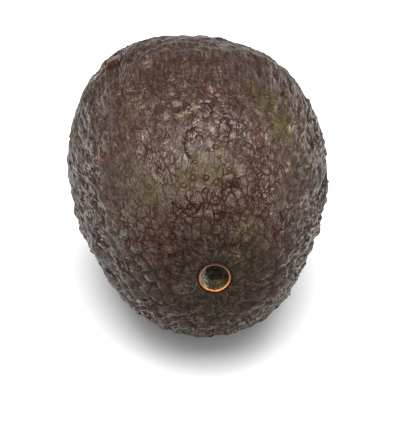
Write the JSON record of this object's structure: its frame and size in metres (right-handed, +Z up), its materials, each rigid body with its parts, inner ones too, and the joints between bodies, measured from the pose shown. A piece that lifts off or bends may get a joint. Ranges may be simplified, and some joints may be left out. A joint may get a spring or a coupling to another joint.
{
  "type": "avocado",
  "caption": "Ripe, dark-skinned whole avocado lying on its side, egg-shaped with pebbled skin and an open round stem scar in a thin corky ring.",
  "frame": {"origin": "on the surface the fruit rests on, under the middle of its bounding box", "axes": "+Z up, -Y towards the stem scar, +Y towards the blossom end, +X to the right as seen from the stem end"},
  "size_m": [0.0713, 0.1025, 0.073],
  "materials": {
    "avocado_skin": "dark purple-brown pebbled fruit skin with olive patches and reddish pores, half matt with a waxy sheen"
  },
  "bodies": {
    "root": {"avocado": "avocado_skin"}
  },
  "joints": []
}
